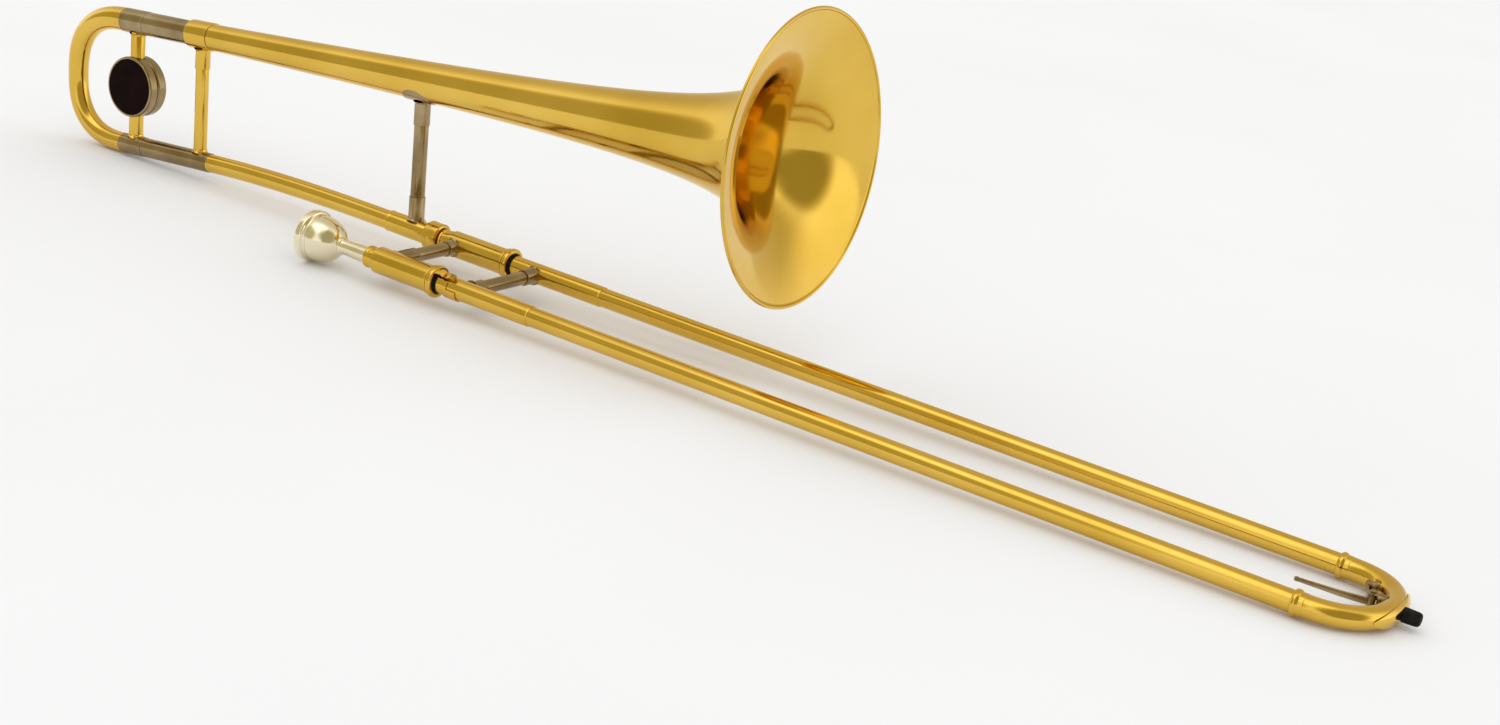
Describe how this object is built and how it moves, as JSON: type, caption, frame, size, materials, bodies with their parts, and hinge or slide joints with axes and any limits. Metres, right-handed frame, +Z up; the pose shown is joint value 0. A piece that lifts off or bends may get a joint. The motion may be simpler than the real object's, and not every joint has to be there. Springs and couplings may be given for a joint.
{
  "type": "trombone",
  "caption": "Straight tenor slide trombone with a hand slide, bell section, tuning slide, counterweight, water key, slide lock and removable mouthpiece.",
  "frame": {"origin": "centre of the bounding box in plan, on the floor that the tuning bow and the end crook rest on", "axes": "+X forwards along the hand slide, towards the bell's mouth and the end crook, +Y from the mouthpiece side to the bell side, +Z up from the slide to the bell. The slide points 0.83 degrees down, because the trombone lies on its bow and crook."},
  "size_m": [1.2066, 0.2134, 0.2664],
  "materials": {
    "brass": "polished and lacquered",
    "nickel_silver": "polished nickel silver",
    "silver_plate": "silver plate",
    "black_rubber": "matt",
    "black_enamel": "glossy",
    "key_cork": "natural cork"
  },
  "bodies": {
    "inner_slide": {"barrel_near": "brass", "barrel_far": "brass", "barrel_flange_far": "brass", "slide_cork_near": "black_rubber", "slide_cork_far": "black_rubber", "inner_tube_near": "nickel_silver", "inner_tube_far": "nickel_silver", "mouthpiece_receiver": "brass", "leadpipe": "brass", "slide_tenon": "brass", "inner_brace_tube": "nickel_silver", "inner_brace_socket_near": "nickel_silver", "inner_brace_socket_far": "nickel_silver"},
    "slide_lock": {"slide_lock_ring": "brass"},
    "outer_slide": {"slide_lock_catch": "brass", "outer_tube_near": "brass", "hand_sleeve_near": "brass", "crook_ferrule_near": "brass", "outer_tube_far": "brass", "hand_sleeve_far": "brass", "crook_ferrule_far": "brass", "outer_brace_tube": "nickel_silver", "outer_brace_socket_near": "nickel_silver", "outer_brace_socket_far": "nickel_silver", "end_crook": "brass", "crook_guard": "brass", "bumper_cup": "brass", "bumper": "black_rubber", "key_nipple": "nickel_silver", "key_saddle": "nickel_silver", "key_screw": "nickel_silver", "key_spring": "nickel_silver"},
    "water_key": {"key_lever": "nickel_silver", "key_cork": "key_cork"},
    "mouthpiece": {"mouthpiece": "silver_plate"},
    "bell_section": {"bell": "brass", "bell_rim": "brass", "bell_ferrule": "brass", "tuning_sleeve_upper": "nickel_silver", "tuning_sleeve_lower": "nickel_silver", "neckpipe": "brass", "neckpipe_ferrule": "brass", "rear_brace_tube": "brass", "rear_brace_socket": "brass", "front_brace_tube": "nickel_silver", "front_brace_socket_upper": "nickel_silver", "front_brace_socket_lower": "nickel_silver", "front_brace_flange": "nickel_silver"},
    "lock_nut": {"lock_nut": "brass"},
    "tuning_slide": {"bow_ferrule_upper": "nickel_silver", "tuning_leg_upper": "nickel_silver", "bow_ferrule_lower": "nickel_silver", "tuning_leg_lower": "nickel_silver", "tuning_bow": "brass", "weight_brace": "brass", "weight_half_front": "nickel_silver", "weight_half_back": "nickel_silver", "weight_plate_front": "black_enamel", "weight_plate_back": "black_enamel"}
  },
  "joints": [
    {"name": "hand_slide", "type": "slide", "parent": "inner_slide", "child": "outer_slide", "axis": [0.9999, 0, -0.0145], "range_m": [0, 0.6]},
    {"name": "slide_lock_turn", "type": "hinge", "parent": "inner_slide", "child": "slide_lock", "pos_m": [-0.12093, -0.08685, 0.01813], "axis": [0.9999, 0, -0.0145], "range_deg": [0, 45]},
    {"name": "mouthpiece_pull", "type": "slide", "parent": "inner_slide", "child": "mouthpiece", "axis": [-0.9999, 0, 0.0145], "range_m": [0, 0.06]},
    {"name": "bell_swivel", "type": "hinge", "parent": "inner_slide", "child": "bell_section", "pos_m": [-0.20462, 0.00065, 0.01935], "axis": [0.9999, 0, -0.0145], "range_deg": [-180, 35]},
    {"name": "lock_nut_turn", "type": "hinge", "parent": "bell_section", "child": "lock_nut", "pos_m": [-0.19462, 0.00065, 0.0192], "axis": [0.9999, 0, -0.0145], "continuous": true},
    {"name": "tuning_pull", "type": "slide", "parent": "bell_section", "child": "tuning_slide", "axis": [-0.9973, 0, -0.0741], "range_m": [0, 0.05]},
    {"name": "water_key_hinge", "type": "hinge", "parent": "outer_slide", "child": "water_key", "pos_m": [0.5718, -0.04235, 0.0081], "axis": [0.0145, 0, 0.9999], "range_deg": [0, 20], "stiffness_Nm_per_rad": 0.03, "springref_deg": -20.05}
  ]
}
